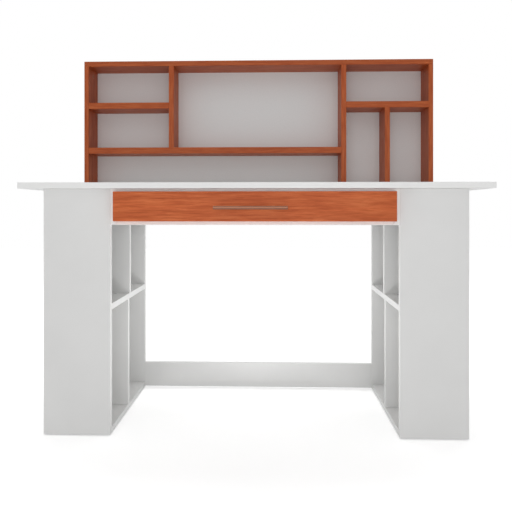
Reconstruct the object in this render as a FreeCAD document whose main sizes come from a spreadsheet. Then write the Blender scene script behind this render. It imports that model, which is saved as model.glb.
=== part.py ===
import FreeCAD
import Part
import os

# Student desk with a hutch, in millimetres.
# Two open pedestals carry the desktop, a drawer case hangs between them, and a shelf unit stands on top.
# Frame: +X to the sitter's right, +Y to the back, +Z up. The origin is on the floor, in the middle of
# the overall width and depth: the drawer's handle is the foremost point and the rear faces are the rearmost.

# Driving sizes: alias, value, meaning.
SIZES = (
    ("desk_height", 750, "floor to the top of the desktop"),
    ("base_width", 1250, "over the outer faces of the pedestals, and of the hutch"),
    ("base_depth", 500, "front to rear face of the pedestals"),
    ("board", 18, "thickness of the white boards"),
    ("edge_radius", 1, "rounding of the banded edges"),
    ("side_overhang", 70, "desktop past the outer face of each pedestal"),
    ("front_overhang", 22, "desktop past the front of the pedestals"),
    ("pedestal_width", 200, "width of one pedestal"),
    ("shelf_height", 390, "floor to the top of the pedestal shelf"),
    ("divider_stagger", 22, "lower divider ahead of the upper one, so that both can be screwed to the shelf"),
    ("stretcher_height", 90, "height of the stretcher board"),
    ("stretcher_lift", 6, "floor to the stretcher"),
    ("glide_height", 3, "floor to the underside of the pedestals"),
    ("glide_radius", 11, "floor glide"),
    ("glide_taper", 2, "glide's foot smaller than its top, in radius"),
    ("glide_inset", 36, "glide's centre from the edges of the bottom panel"),
    ("nail_radius", 1.2, "nail of the glide"),
    ("nail_length", 12, "nail of the glide in the bottom panel"),
    ("case_height", 107, "underside of the drawer case to the underside of the desktop"),
    ("rail_depth", 80, "front rail of the drawer case"),
    ("front_board", 18, "thickness of the drawer front"),
    ("front_gap", 1, "drawer front to the case when shut"),
    ("side_reveal", 12, "pedestal's inner edge to the drawer front"),
    ("top_reveal", 8.5, "desktop to the drawer front"),
    ("bottom_reveal", 11, "underside of the case to the drawer front"),
    ("drawer_board", 12, "thickness of the drawer's sides and back"),
    ("drawer_rear_gap", 63, "drawer's rear to the back of the case when shut"),
    ("drawer_lift", 8, "case bottom to the drawer's sides"),
    ("drawer_headroom", 6, "drawer's sides to the front rail"),
    ("drawer_floor", 3, "thickness of the drawer's bottom"),
    ("floor_lift", 8, "lower edge of the drawer's sides to its bottom"),
    ("groove_depth", 6, "groove that holds the drawer's bottom"),
    ("groove_play", 0.2, "clearance of the drawer's bottom in its groove"),
    ("slide_height", 35, "height of the cabinet member"),
    ("slide_space", 12.7, "case side to drawer side"),
    ("slide_sheet", 1.2, "sheet thickness of the slide members"),
    ("slide_web_gap", 2, "web to web of nested members, room for the screw heads"),
    ("slide_play", 0.4, "running clearance between the flanges of nested members"),
    ("slide_setback", 5, "front edge of the case to the slide"),
    ("slide_rear_setback", 14, "rear of the slide to the rear of the drawer"),
    ("slide_screw_inset", 30, "end of the slide to its first screw"),
    ("handle_length", 214, "length of the bar"),
    ("bar_radius", 5, "bar"),
    ("bar_chamfer", 0.8, "ends of the bar"),
    ("handle_pitch", 160, "post to post"),
    ("handle_offset", -9, "middle of the bar from the middle of the drawer front, to the right"),
    ("handle_drop", 4, "middle of the bar below the middle of the drawer front"),
    ("handle_projection", 34, "drawer front to the foremost line of the bar"),
    ("post_radius", 3.5, "post"),
    ("post_play", 0.05, "post in its hole in the bar"),
    ("hutch_board", 18, "thickness of the hutch's top and dividers"),
    ("hutch_side_board", 16, "thickness of the hutch's sides"),
    ("hutch_shelf_board", 22, "thickness of the hutch's shelves"),
    ("hutch_back_board", 4, "thickness of the hutch's back"),
    ("hutch_height", 455, "desktop to the top of the hutch"),
    ("hutch_depth", 116, "front to rear face of the hutch"),
    ("centre_bay", 600, "left divider to right divider"),
    ("lower_bay", 122, "desktop to the long shelf"),
    ("short_shelf_lift", 284, "desktop to the short shelves"),
    ("dowel_radius", 4, "wooden dowel"),
    ("dowel_length", 30, "wooden dowel"),
    ("dowel_seat", 11, "part of the dowel that sits in the board's face"),
    ("dowel_inset", 20, "edge of a joint to its outermost dowel"),
    ("panel_dowel_inset", 40, "end of a pedestal's outer panel to its outermost dowel"),
    ("case_dowel_inset", 80, "end of a long joint of the drawer case to its outermost dowel"),
    ("thin_dowel_radius", 3, "dowel of the drawer box"),
    ("thin_dowel_length", 24, "dowel of the drawer box"),
    ("thin_dowel_seat", 7, "part of the drawer box's dowel that sits in the board's face"),
    ("drawer_dowel_share", 0.38, "edge of a drawer board to its dowel, as a share of the board's height"),
    ("hole_play", 0.1, "clearance round a dowel, bolt or screw"),
    ("hole_end_gap", 1, "spare depth of a blind hole"),
    ("cam_radius", 7.5, "cam lock"),
    ("cam_depth", 12.5, "cam lock"),
    ("cam_offset", 24, "joint plane to the middle of the cam lock"),
    ("cam_slot_length", 9, "cross recess in the cam lock"),
    ("cam_slot_width", 1.6, "cross recess in the cam lock"),
    ("cam_slot_depth", 1.5, "cross recess in the cam lock"),
    ("bolt_radius", 3, "bolt of the cam lock"),
    ("bolt_seat", 10, "part of the bolt that sits in the board's face"),
    ("confirmat_head_radius", 5, "head of the divider screw"),
    ("confirmat_head_height", 3, "head of the divider screw"),
    ("confirmat_shank_radius", 2.75, "shank of the divider screw"),
    ("confirmat_length", 50, "length of the divider screw"),
    ("confirmat_inset", 45, "edge of the divider to its screws"),
    ("casescrew_head_radius", 4, "head of the screw from the case into the pedestal"),
    ("casescrew_head_height", 2.4, "head of the screw from the case into the pedestal"),
    ("casescrew_shank_radius", 1.9, "shank of the screw from the case into the pedestal"),
    ("casescrew_length", 40, "length of the screw from the case into the pedestal"),
    ("case_screw_inset", 12, "inside of the case to its side screws"),
    ("backscrew_head_radius", 3.5, "head of the hutch back's screw"),
    ("backscrew_head_height", 1.6, "head of the hutch back's screw"),
    ("backscrew_shank_radius", 1.5, "shank of the hutch back's screw"),
    ("backscrew_length", 20, "length of the hutch back's screw"),
    ("back_screw_inset", 60, "end of a shelf or divider to its screws from the back"),
    ("railscrew_head_radius", 4, "head of the screw from the rail into the desktop"),
    ("railscrew_head_height", 2.4, "head of the screw from the rail into the desktop"),
    ("railscrew_shank_radius", 1.9, "shank of the screw from the rail into the desktop"),
    ("railscrew_length", 30, "length of the screw from the rail into the desktop"),
    ("rail_screw_inset", 120, "end of the rail to its outermost screw"),
    ("slidescrew_head_radius", 3.2, "head of the slide's screw"),
    ("slidescrew_head_height", 1.5, "head of the slide's screw"),
    ("slidescrew_shank_radius", 1.6, "shank of the slide's screw"),
    ("slidescrew_length", 11, "length of the slide's screw"),
    ("handlescrew_head_radius", 4, "head of the handle's screw"),
    ("handlescrew_head_height", 2.5, "head of the handle's screw"),
    ("handlescrew_shank_radius", 2, "shank of the handle's screw"),
    ("handlescrew_bite", 10, "shank of the handle's screw in the post"),
)


class SheetNames:
    """Turns sizes.board into the reference Sizes.board that an expression uses."""

    def __getattr__(self, alias):
        return "Sizes." + alias


def fill_sheet():
    sheet = DOC.addObject("Spreadsheet::Sheet", "Sizes")
    for row, (alias, value, meaning) in enumerate(SIZES, start=1):
        sheet.set(f"A{row}", alias)
        sheet.set(f"B{row}", str(value))
        sheet.set(f"C{row}", meaning)
        sheet.setAlias(f"B{row}", alias)
    DOC.recompute()
    return sheet


DOC = FreeCAD.newDocument("StudentDesk")
SHEET = fill_sheet()
sizes = SheetNames()

# Planes and half widths that several pieces share.
REACH = f"({sizes.front_gap} + {sizes.front_board} + {sizes.handle_projection})"
FRONT = f"(({REACH} - {sizes.base_depth}) / 2)"
REAR = f"({FRONT} + {sizes.base_depth})"
HALF_WIDTH = f"({sizes.base_width} / 2)"
UNDER_TOP = f"({sizes.desk_height} - {sizes.board})"
HALF_KNEEHOLE = f"({HALF_WIDTH} - {sizes.pedestal_width})"
CASE_LOW = f"({UNDER_TOP} - {sizes.case_height})"
HALF_CASE = f"({HALF_KNEEHOLE} - {sizes.board})"
DRAWER_FACE = f"({FRONT} - {sizes.front_gap})"
HALF_DRAWER = f"({HALF_CASE} - {sizes.slide_space})"
DRAWER_LOW = f"({CASE_LOW} + {sizes.board} + {sizes.drawer_lift})"
DRAWER_TALL = f"({sizes.case_height} - 2 * {sizes.board} - {sizes.drawer_lift} - {sizes.drawer_headroom})"
DRAWER_LENGTH = f"({sizes.base_depth} - {sizes.board} + {sizes.front_gap} - {sizes.drawer_rear_gap})"
SLIDE_LENGTH = f"({DRAWER_LENGTH} - {sizes.front_gap} - {sizes.slide_setback} - {sizes.slide_rear_setback})"
FLOOR_LOW = f"({DRAWER_LOW} + {sizes.floor_lift})"
HUTCH_FRONT = f"({REAR} - {sizes.hutch_depth})"

AXES = ("X", "Y", "Z")
TURNS = {
    "X": FreeCAD.Rotation(FreeCAD.Vector(0, 1, 0), 90),
    "Y": FreeCAD.Rotation(FreeCAD.Vector(1, 0, 0), -90),
    "Z": FreeCAD.Rotation(),
}
# Overshoot of a cutter past an open face.
PAST_FACE = 1
BOX_EDGES = range(1, 13)
CYLINDER_RIMS = (1, 3)
# Cams midway between the first two and the last two of four dowels, as fractions of the joint.
BETWEEN_OUTER_DOWELS = (1 / 6, 5 / 6)

PIECES = []
GROUPS = {}


class Piece:
    """A sub-part: a blank, and the cutters that its joints and fasteners add to it."""

    def __init__(self, label, blank):
        self.label = label
        self.blank = blank
        self.cutters = []
        PIECES.append(self)


class Board(Piece):
    """A rectangular board with a low end and a length on each axis; thick is the axis of its thickness."""

    def __init__(self, label, thick, x, y, z, eased=True):
        self.thick = thick
        self.spans = {"X": x, "Y": y, "Z": z}
        blank = add_box(label + "_blank", x, y, z)
        if eased:
            blank = ease_edges(label + "_eased", blank, "Part::Fillet", BOX_EDGES, SHEET.edge_radius)
        super().__init__(label, blank)

    def low(self, axis):
        return self.spans[axis][0]

    def high(self, axis):
        low, length = self.spans[axis]
        return f"({low} + {length})"

    def middle(self, axis):
        return self.share(axis, "0", 0.5)

    def share(self, axis, inset, fraction):
        """A place along the board, as a fraction of what is left between two equal insets."""
        low, length = self.spans[axis]
        return f"({low} + {inset} + {fraction} * ({length} - 2 * {inset}))"


def place(feature, axis, start):
    feature.Placement = FreeCAD.Placement(FreeCAD.Vector(), TURNS[axis])
    for letter in AXES:
        feature.setExpression(f"Placement.Base.{letter.lower()}", start[letter])


def add_box(name, x, y, z):
    box = DOC.addObject("Part::Box", name)
    for side, span in (("Length", x), ("Width", y), ("Height", z)):
        box.setExpression(side, span[1])
    place(box, "Z", {"X": x[0], "Y": y[0], "Z": z[0]})
    return box


def add_cylinder(name, axis, start, length, radius):
    """A cylinder that runs from its start in the positive direction of the axis."""
    rod = DOC.addObject("Part::Cylinder", name)
    rod.setExpression("Radius", radius)
    rod.setExpression("Height", length)
    place(rod, axis, start)
    return rod


def ease_edges(name, blank, kind, edges, amount):
    eased = DOC.addObject(kind, name)
    eased.Base = blank
    eased.Edges = [(edge, amount, amount) for edge in edges]
    return eased


def add_cut(name, base, tools):
    cut = DOC.addObject("Part::Cut", name)
    cut.Base = base
    cut.Tool = tools[0] if len(tools) == 1 else add_compound(name + "_tools", tools)
    return cut


def add_fuse(name, base, tool):
    fuse = DOC.addObject("Part::Fuse", name)
    fuse.Base = base
    fuse.Tool = tool
    return fuse


def add_compound(name, members):
    compound = DOC.addObject("Part::Compound", name)
    compound.Links = members
    return compound


def join_group(group, solid):
    GROUPS.setdefault(group, []).append(solid)


def add_dowel(kind, group, pieces, axis, start):
    """A dowel in a blind hole that its two boards share."""
    radius = f"Sizes.{kind}_radius"
    length = f"Sizes.{kind}_length"
    join_group(group, add_cylinder(group + "_pin", axis, start, length, radius))
    hole_start = dict(start)
    hole_start[axis] = f"({start[axis]} - {sizes.hole_end_gap})"
    hole_length = f"({length} + 2 * {sizes.hole_end_gap})"
    hole = add_cylinder(group + "_hole", axis, hole_start, hole_length, f"({radius} + {sizes.hole_play})")
    for piece in pieces:
        piece.cutters.append(hole)


def add_cam(group, end, face, axis, into, plane, spot, cam_side):
    """A cam lock in the flat of the end board, and the bolt that it draws out of the face board."""
    thick = end.thick
    along = [letter for letter in AXES if letter not in (axis, thick)][0]
    middle = f"({plane} + {into} * {sizes.cam_offset})"
    surface = end.low(thick) if cam_side == "low" else end.high(thick)
    inwards = 1 if cam_side == "low" else -1

    bolt_length = f"({sizes.cam_offset} + {sizes.bolt_seat})"
    bolt_low = f"({plane} - {sizes.bolt_seat})" if into > 0 else f"({plane} - {sizes.cam_offset})"
    bolt_start = {axis: bolt_low, along: spot, thick: end.middle(thick)}
    bolt = add_cylinder(group + "_bolt", axis, bolt_start, bolt_length, sizes.bolt_radius)
    join_group(group + "_cam_bolts", bolt)
    hole_start = dict(bolt_start)
    hole_start[axis] = f"({bolt_low} - {sizes.hole_end_gap})"
    hole_length = f"({bolt_length} + 2 * {sizes.hole_end_gap})"
    hole_radius = f"({sizes.bolt_radius} + {sizes.hole_play})"
    bolt_hole = add_cylinder(group + "_bolt_hole", axis, hole_start, hole_length, hole_radius)

    disc_low = surface if inwards > 0 else f"({surface} - {sizes.cam_depth})"
    disc_start = {axis: middle, along: spot, thick: disc_low}
    disc = add_cylinder(group + "_cam_disc", thick, disc_start, sizes.cam_depth, sizes.cam_radius)
    recess_low = f"({surface} - {PAST_FACE})" if inwards > 0 else f"({surface} - {sizes.cam_slot_depth})"
    recess = (recess_low, f"({sizes.cam_slot_depth} + {PAST_FACE})")
    slots = []
    for long_axis, short_axis in ((axis, along), (along, axis)):
        centre = {axis: middle, along: spot}
        spans = {thick: recess}
        for letter, size in ((long_axis, sizes.cam_slot_length), (short_axis, sizes.cam_slot_width)):
            spans[letter] = (f"({centre[letter]} - {size} / 2)", size)
        slots.append(add_box(group + "_cam_slot", spans["X"], spans["Y"], spans["Z"]))
    join_group(group + "_cam_locks", add_cut(group + "_cam", disc, [bolt_hole] + slots))

    pocket_depth = f"({sizes.cam_depth} + {sizes.hole_play})"
    pocket_low = f"({surface} - {PAST_FACE})" if inwards > 0 else f"({surface} - {pocket_depth})"
    pocket_start = {axis: middle, along: spot, thick: pocket_low}
    pocket_length = f"({pocket_depth} + {PAST_FACE})"
    pocket_radius = f"({sizes.cam_radius} + {sizes.hole_play})"
    pocket = add_cylinder(group + "_cam_pocket", thick, pocket_start, pocket_length, pocket_radius)
    end.cutters.extend((bolt_hole, pocket))
    face.cutters.append(bolt_hole)


def butt_joint(group, end, face, axis, end_side, count=2, inset=sizes.dowel_inset, cam_side=None,
               cams=(0.5,), dowel="dowel"):
    """The end board's low or high end meets the flat of the face board, held by dowels and cam locks.

    The dowels are spread evenly between the two insets, and the cams sit at fractions of the same stretch.
    """
    along = [letter for letter in AXES if letter not in (axis, end.thick)][0]
    plane = end.low(axis) if end_side == "low" else end.high(axis)
    into = 1 if end_side == "low" else -1
    if into > 0:
        start = f"({plane} - Sizes.{dowel}_seat)"
    else:
        start = f"({plane} + Sizes.{dowel}_seat - Sizes.{dowel}_length)"
    for number in range(count):
        spot = end.share(along, inset, number / (count - 1))
        position = {axis: start, along: spot, end.thick: end.middle(end.thick)}
        add_dowel(dowel, group + "_dowels", (end, face), axis, position)
    if cam_side:
        for fraction in cams:
            add_cam(group, end, face, axis, into, plane, end.share(along, inset, fraction), cam_side)


def add_screw(kind, group, pieces, axis, head, way, position, length=None, sunk=True):
    """A screw whose head starts at the coordinate head and whose tip points along the axis, or against it.

    A sunk head gets a recess in the pieces; a proud one stands on the outer face of the first piece.
    """
    length = length or f"Sizes.{kind}_length"
    head_height = f"Sizes.{kind}_head_height"
    parts = []
    holes = []
    stretches = (
        ("head", "0", head_height, f"Sizes.{kind}_head_radius", f"{PAST_FACE}", sizes.hole_play),
        ("shank", head_height, length, f"Sizes.{kind}_shank_radius", "0", sizes.hole_end_gap),
    )
    for part, near, far, radius, before, after in stretches:
        low = f"({head} + {near})" if way > 0 else f"({head} - {far})"
        start = dict(position)
        start[axis] = low
        parts.append(add_cylinder(f"{group}_{part}", axis, start, f"({far} - {near})", radius))
        if part == "head" and not sunk:
            continue
        hole_start = dict(position)
        hole_start[axis] = f"({low} - {before})" if way > 0 else f"({low} - {after})"
        hole_length = f"({far} - {near} + {before} + {after})"
        hole_radius = f"({radius} + {sizes.hole_play})"
        holes.append(add_cylinder(f"{group}_{part}_hole", axis, hole_start, hole_length, hole_radius))
    join_group(group, add_fuse(group + "_screw", parts[0], parts[1]))
    for piece in pieces:
        piece.cutters.extend(holes)


def make_desktop():
    width = f"({sizes.base_width} + 2 * {sizes.side_overhang})"
    return Board(
        "desktop", "Z",
        x=(f"(-{HALF_WIDTH} - {sizes.side_overhang})", width),
        y=(f"({FRONT} - {sizes.front_overhang})", f"({sizes.base_depth} + {sizes.front_overhang})"),
        z=(UNDER_TOP, sizes.board),
    )


def make_pedestal(side, desktop):
    """Seven boards open towards the kneehole; the front and rear panels cover the ends of the others."""
    if side == "left":
        pedestal_x = f"(-{HALF_WIDTH})"
        outer_x = pedestal_x
        inner_x = f"({pedestal_x} + {sizes.board})"
        inner_face = "high"
    else:
        pedestal_x = HALF_KNEEHOLE
        outer_x = f"({HALF_WIDTH} - {sizes.board})"
        inner_x = pedestal_x
        inner_face = "low"
    full_width = (pedestal_x, sizes.pedestal_width)
    clear_width = (inner_x, f"({sizes.pedestal_width} - {sizes.board})")
    clear_depth = (f"({FRONT} + {sizes.board})", f"({sizes.base_depth} - 2 * {sizes.board})")
    full_height = (sizes.glide_height, f"({UNDER_TOP} - {sizes.glide_height})")
    upper_low = f"(({FRONT} + {REAR} - {sizes.board}) / 2)"
    lower_low = f"({upper_low} - {sizes.divider_stagger})"
    floor_top = f"({sizes.glide_height} + {sizes.board})"
    shelf_low = f"({sizes.shelf_height} - {sizes.board})"
    rear_y = (f"({REAR} - {sizes.board})", sizes.board)

    front = Board(f"{side}_front_panel", "Y", full_width, (FRONT, sizes.board), full_height)
    rear = Board(f"{side}_rear_panel", "Y", full_width, rear_y, full_height)
    outer = Board(f"{side}_outer_panel", "X", (outer_x, sizes.board), clear_depth, full_height)
    bottom = Board(f"{side}_bottom_panel", "Z", clear_width, clear_depth, (sizes.glide_height, sizes.board))
    shelf = Board(f"{side}_shelf", "Z", clear_width, clear_depth, (shelf_low, sizes.board))
    upper = Board(f"{side}_upper_divider", "Y", clear_width, (upper_low, sizes.board),
                  (sizes.shelf_height, f"({UNDER_TOP} - {sizes.shelf_height})"))
    lower = Board(f"{side}_lower_divider", "Y", clear_width, (lower_low, sizes.board),
                  (floor_top, f"({shelf_low} - {floor_top})"))

    for panel, end_side in ((front, "low"), (rear, "high")):
        butt_joint("base", bottom, panel, "Y", end_side, cam_side="low")
        butt_joint("base", shelf, panel, "Y", end_side, cam_side="low")
        butt_joint("base", outer, panel, "Y", end_side, count=4, inset=sizes.panel_dowel_inset,
                   cam_side=inner_face, cams=BETWEEN_OUTER_DOWELS)
    butt_joint("base", front, desktop, "Z", "high", cam_side="high")
    butt_joint("base", rear, desktop, "Z", "high", cam_side="low")
    butt_joint("base", outer, desktop, "Z", "high", count=4, cam_side=inner_face)
    butt_joint("base", upper, desktop, "Z", "high")

    for fraction in (0, 1):
        spot = upper.share("X", sizes.confirmat_inset, fraction)
        over = {"X": spot, "Y": upper.middle("Y")}
        under = {"X": spot, "Y": lower.middle("Y")}
        add_screw("confirmat", "divider_screws", (shelf, upper), "Z", shelf_low, 1, over)
        add_screw("confirmat", "divider_screws", (shelf, lower), "Z", sizes.shelf_height, -1, under)
        add_screw("confirmat", "divider_screws", (bottom, lower), "Z", sizes.glide_height, 1, under)
    for x_fraction in (0, 1):
        for y_fraction in (0, 1):
            add_glide(bottom, x_fraction, y_fraction)
    return {"front": front, "rear": rear, "divider": upper}


def add_glide(bottom, x_fraction, y_fraction):
    """A nail-on glide under a corner of the bottom panel."""
    spot = {
        "X": bottom.share("X", sizes.glide_inset, x_fraction),
        "Y": bottom.share("Y", sizes.glide_inset, y_fraction),
    }
    foot = DOC.addObject("Part::Cone", "glide_foot")
    foot.setExpression("Radius1", f"({sizes.glide_radius} - {sizes.glide_taper})")
    foot.setExpression("Radius2", sizes.glide_radius)
    foot.setExpression("Height", sizes.glide_height)
    place(foot, "Z", dict(spot, Z="0"))
    nail_start = dict(spot, Z=sizes.glide_height)
    nail = add_cylinder("glide_nail", "Z", nail_start, sizes.nail_length, sizes.nail_radius)
    join_group("floor_glides", add_fuse("glide", foot, nail))
    hole_length = f"({sizes.nail_length} + {sizes.hole_end_gap})"
    hole_radius = f"({sizes.nail_radius} + {sizes.hole_play})"
    bottom.cutters.append(add_cylinder("glide_nail_hole", "Z", nail_start, hole_length, hole_radius))


def make_stretcher(left_rear, right_rear):
    stretcher = Board(
        "stretcher", "Y",
        x=(f"(-{HALF_KNEEHOLE})", f"(2 * {HALF_KNEEHOLE})"),
        y=(f"({REAR} - {sizes.board})", sizes.board),
        z=(sizes.stretcher_lift, sizes.stretcher_height),
    )
    butt_joint("base", stretcher, left_rear, "X", "low", cam_side="high")
    butt_joint("base", stretcher, right_rear, "X", "high", cam_side="high")


def make_case(desktop, pedestals):
    """The box that hangs under the desktop between the pedestals and takes the drawer."""
    clear_width = (f"(-{HALF_CASE})", f"(2 * {HALF_CASE})")
    height = (CASE_LOW, sizes.case_height)
    bottom_depth = f"({sizes.base_depth} - {sizes.board})"
    rail_low = f"({UNDER_TOP} - {sizes.board})"

    bottom = Board("case_bottom", "Z", clear_width, (FRONT, bottom_depth), (CASE_LOW, sizes.board))
    back = Board("case_back", "Y", clear_width, (f"({REAR} - {sizes.board})", sizes.board), height)
    rail = Board("case_front_rail", "Z", clear_width, (FRONT, sizes.rail_depth), (rail_low, sizes.board))
    butt_joint("base", bottom, back, "Y", "high", count=3, inset=sizes.case_dowel_inset)

    screw_heights = (
        f"({CASE_LOW} + {sizes.board} + {sizes.case_screw_inset})",
        f"({rail_low} - {sizes.case_screw_inset})",
    )
    case_sides = {}
    for side, side_x, head, way, end_side in (
        ("left", f"(-{HALF_KNEEHOLE})", f"(-{HALF_CASE})", -1, "low"),
        ("right", HALF_CASE, HALF_CASE, 1, "high"),
    ):
        wall = Board(f"case_{side}_side", "X", (side_x, sizes.board), (FRONT, sizes.base_depth), height)
        case_sides[side] = wall
        butt_joint("base", bottom, wall, "X", end_side, count=3)
        butt_joint("base", back, wall, "X", end_side)
        butt_joint("base", rail, wall, "X", end_side)
        butt_joint("base", wall, desktop, "Z", "high", inset=sizes.case_dowel_inset)
        for panel in (pedestals[side]["front"], pedestals[side]["divider"]):
            for screw_height in screw_heights:
                spot = {"Y": panel.middle("Y"), "Z": screw_height}
                add_screw("casescrew", "case_screws", (wall, panel), "X", head, way, spot)
    for fraction in (0, 0.5, 1):
        spot = {"X": rail.share("X", sizes.rail_screw_inset, fraction), "Y": rail.middle("Y")}
        add_screw("railscrew", "rail_screws", (rail, desktop), "Z", rail_low, 1, spot)
    return case_sides


def make_drawer():
    """Front, two sides and a back, with a thin bottom slid into grooves from behind."""
    front_x = f"({HALF_KNEEHOLE} - {sizes.side_reveal})"
    front = Board(
        "drawer_front", "Y",
        x=(f"(-{front_x})", f"(2 * {front_x})"),
        y=(f"({DRAWER_FACE} - {sizes.front_board})", sizes.front_board),
        z=(f"({CASE_LOW} + {sizes.bottom_reveal})",
           f"({sizes.case_height} - {sizes.bottom_reveal} - {sizes.top_reveal})"),
    )
    half_inside = f"({HALF_DRAWER} - {sizes.drawer_board})"
    half_floor = f"({half_inside} + {sizes.groove_depth} - {sizes.groove_play})"
    floor_front = f"({DRAWER_FACE} - {sizes.groove_depth} + {sizes.groove_play})"
    drawer_rear = f"({DRAWER_FACE} + {DRAWER_LENGTH})"
    back_low = f"({FLOOR_LOW} + {sizes.drawer_floor} + {sizes.groove_play})"
    back_tall = f"({DRAWER_LOW} + {DRAWER_TALL} - {back_low})"
    Board(
        "drawer_bottom", "Z",
        x=(f"(-{half_floor})", f"(2 * {half_floor})"),
        y=(floor_front, f"({drawer_rear} - {floor_front})"),
        z=(FLOOR_LOW, sizes.drawer_floor),
        eased=False,
    )
    back = Board(
        "drawer_back", "Y",
        x=(f"(-{half_inside})", f"(2 * {half_inside})"),
        y=(f"({drawer_rear} - {sizes.drawer_board})", sizes.drawer_board),
        z=(back_low, back_tall),
    )
    groove_z = (f"({FLOOR_LOW} - {sizes.groove_play})", f"({sizes.drawer_floor} + 2 * {sizes.groove_play})")
    groove_half = f"({half_inside} + {sizes.groove_depth})"
    front_groove_x = (f"(-{groove_half})", f"(2 * {groove_half})")
    front_groove_y = (f"({DRAWER_FACE} - {sizes.groove_depth})", f"({sizes.groove_depth} + {PAST_FACE})")
    front.cutters.append(add_box("front_groove", front_groove_x, front_groove_y, groove_z))

    walls = {}
    side_groove_y = (f"({DRAWER_FACE} - {PAST_FACE})", f"({DRAWER_LENGTH} + 2 * {PAST_FACE})")
    groove_width = f"({sizes.groove_depth} + {PAST_FACE})"
    wall_inset = f"({sizes.drawer_dowel_share} * {DRAWER_TALL})"
    back_inset = f"({sizes.drawer_dowel_share} * {back_tall})"
    for side, side_x, groove_x, end_side in (
        ("left", f"(-{HALF_DRAWER})", f"(-{groove_half})", "low"),
        ("right", half_inside, f"({half_inside} - {PAST_FACE})", "high"),
    ):
        wall = Board(f"drawer_{side}_side", "X", (side_x, sizes.drawer_board),
                     (DRAWER_FACE, DRAWER_LENGTH), (DRAWER_LOW, DRAWER_TALL))
        walls[side] = wall
        wall.cutters.append(add_box(f"{side}_groove", (groove_x, groove_width), side_groove_y, groove_z))
        butt_joint("drawer", wall, front, "Y", "low", inset=wall_inset, dowel="thin_dowel")
        butt_joint("drawer", back, wall, "X", end_side, inset=back_inset, dowel="thin_dowel")
    return front, walls


def make_handle(front):
    """A round bar on two posts, each held by a machine screw through the drawer front."""
    face = front.low("Y")
    height = f"({front.middle('Z')} - {sizes.handle_drop})"
    bar_y = f"({face} - {sizes.handle_projection} + {sizes.bar_radius})"
    bar_start = {"X": f"({sizes.handle_offset} - {sizes.handle_length} / 2)", "Y": bar_y, "Z": height}
    bar_rod = add_cylinder("bar_rod", "X", bar_start, sizes.handle_length, sizes.bar_radius)
    bar_blank = ease_edges("bar_eased", bar_rod, "Part::Chamfer", CYLINDER_RIMS, SHEET.bar_chamfer)
    bar = Piece("handle_bar", bar_blank)
    screw_length = f"({sizes.handlescrew_head_height} + {sizes.front_board} + {sizes.handlescrew_bite})"
    head = f"({DRAWER_FACE} + {sizes.handlescrew_head_height})"

    post_rods = []
    bores = []
    for half in (-0.5, 0.5):
        spot = {"X": f"({sizes.handle_offset} + {half} * {sizes.handle_pitch})", "Z": height}
        post_start = dict(spot, Y=bar_y)
        post_rods.append(add_cylinder("post_rod", "Y", post_start, f"({face} - {bar_y})", sizes.post_radius))
        seat_start = dict(spot, Y=f"({bar_y} - {sizes.post_play})")
        seat_length = f"({sizes.bar_radius} + {sizes.post_play} + {PAST_FACE})"
        seat_radius = f"({sizes.post_radius} + {sizes.post_play})"
        bar.cutters.append(add_cylinder("post_seat", "Y", seat_start, seat_length, seat_radius))
        bore_depth = f"({sizes.handlescrew_bite} + {sizes.hole_end_gap})"
        bore_start = dict(spot, Y=f"({face} - {bore_depth})")
        bore_radius = f"({sizes.handlescrew_shank_radius} + {sizes.hole_play})"
        bores.append(add_cylinder("post_bore", "Y", bore_start, f"({bore_depth} + {PAST_FACE})", bore_radius))
        add_screw("handlescrew", "handle_screws", (front,), "Y", head, -1, spot,
                  length=screw_length, sunk=False)
    posts = Piece("handle_posts", add_compound("post_rods", post_rods))
    posts.cutters.extend(bores)


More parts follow.
